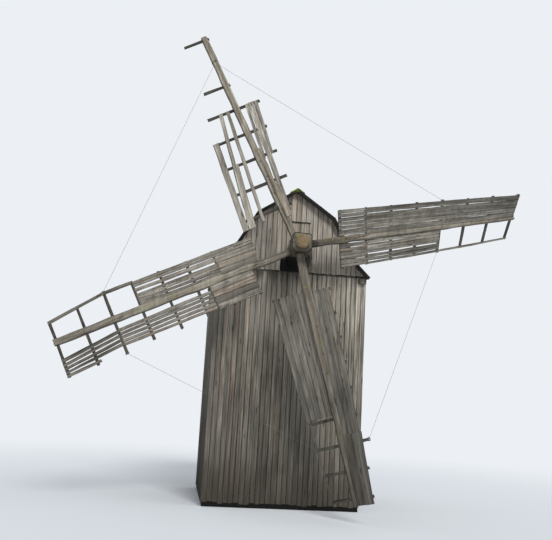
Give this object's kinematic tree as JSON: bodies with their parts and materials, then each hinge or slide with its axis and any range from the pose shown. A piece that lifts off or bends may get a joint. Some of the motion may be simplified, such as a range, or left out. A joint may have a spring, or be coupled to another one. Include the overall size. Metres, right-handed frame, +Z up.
{
  "type": "traditional boarded windmill",
  "caption": "Square boarded timber windmill with a gambrel roof, kicked eaves and an inclined windshaft that carries four lattice and board sails held by wire stays.",
  "frame": {"origin": "centre of the sill frame's underside, at ground level", "axes": "+Z up, the sails and the front wall face -Y, +X to the right seen from the front"},
  "size_m": [14.6167, 8.3566, 15.1391],
  "materials": {
    "frame_timber": "rough hewn, weathered dark",
    "wall_boards": "sawn boards, weathered grey-brown",
    "gable_boards": "sawn boards, weathered grey with a pinkish cast",
    "roof_boards": "weathered boards with moss at the ridge",
    "bearing_block": "hewn hardwood, worn",
    "shaft_timber": "hewn timber, checked end grain",
    "band_iron": "wrought iron, dark and rusted",
    "sail_timber": "hewn bars, weathered grey",
    "sail_boards": "thin boards, silver grey",
    "stay_wire": "galvanised wire, dulled"
  },
  "bodies": {
    "house": {"sill_frame": "frame_timber", "corner_posts": "frame_timber", "plate_left": "frame_timber", "plate_right": "frame_timber", "plate_front": "frame_timber", "plate_back": "frame_timber", "door_posts": "frame_timber", "door_lintel": "frame_timber", "neck_beam": "frame_timber", "tail_beam": "frame_timber", "front_wall": "wall_boards", "left_wall": "wall_boards", "right_wall": "wall_boards", "back_wall_left": "wall_boards", "back_wall_right": "wall_boards", "back_wall_over": "wall_boards", "back_door": "wall_boards", "front_gable_left": "gable_boards", "front_gable_right": "gable_boards", "back_gable": "gable_boards", "gable_infill": "gable_boards", "gable_hatch": "gable_boards", "roof_right_upper": "roof_boards", "roof_right_lower": "roof_boards", "roof_right_eave": "roof_boards", "roof_left_upper": "roof_boards", "roof_left_lower": "roof_boards", "roof_left_eave": "roof_boards", "ridge_cap": "roof_boards", "front_verge_left": "roof_boards", "front_verge_right": "roof_boards", "back_verge_left": "roof_boards", "back_verge_right": "roof_boards", "neck_block": "bearing_block"},
    "rotor": {"windshaft": "shaft_timber", "head_bands": "band_iron", "upper_whip": "sail_timber", "upper_bars": "sail_timber", "upper_boards": "sail_boards", "left_whip": "sail_timber", "left_bars": "sail_timber", "left_boards": "sail_boards", "right_whip": "sail_timber", "right_bars": "sail_timber", "right_boards": "sail_boards", "lower_whip": "sail_timber", "lower_bars": "sail_timber", "lower_boards": "sail_boards", "stay_upper_right": "stay_wire", "stay_upper_left": "stay_wire", "stay_left_lower": "stay_wire", "stay_right_lower": "stay_wire"}
  },
  "joints": [
    {"name": "windshaft_turn", "type": "hinge", "parent": "house", "child": "rotor", "pos_m": [0, -3.88, 8.17], "axis": [0, -0.9928, 0.1201], "continuous": true}
  ]
}
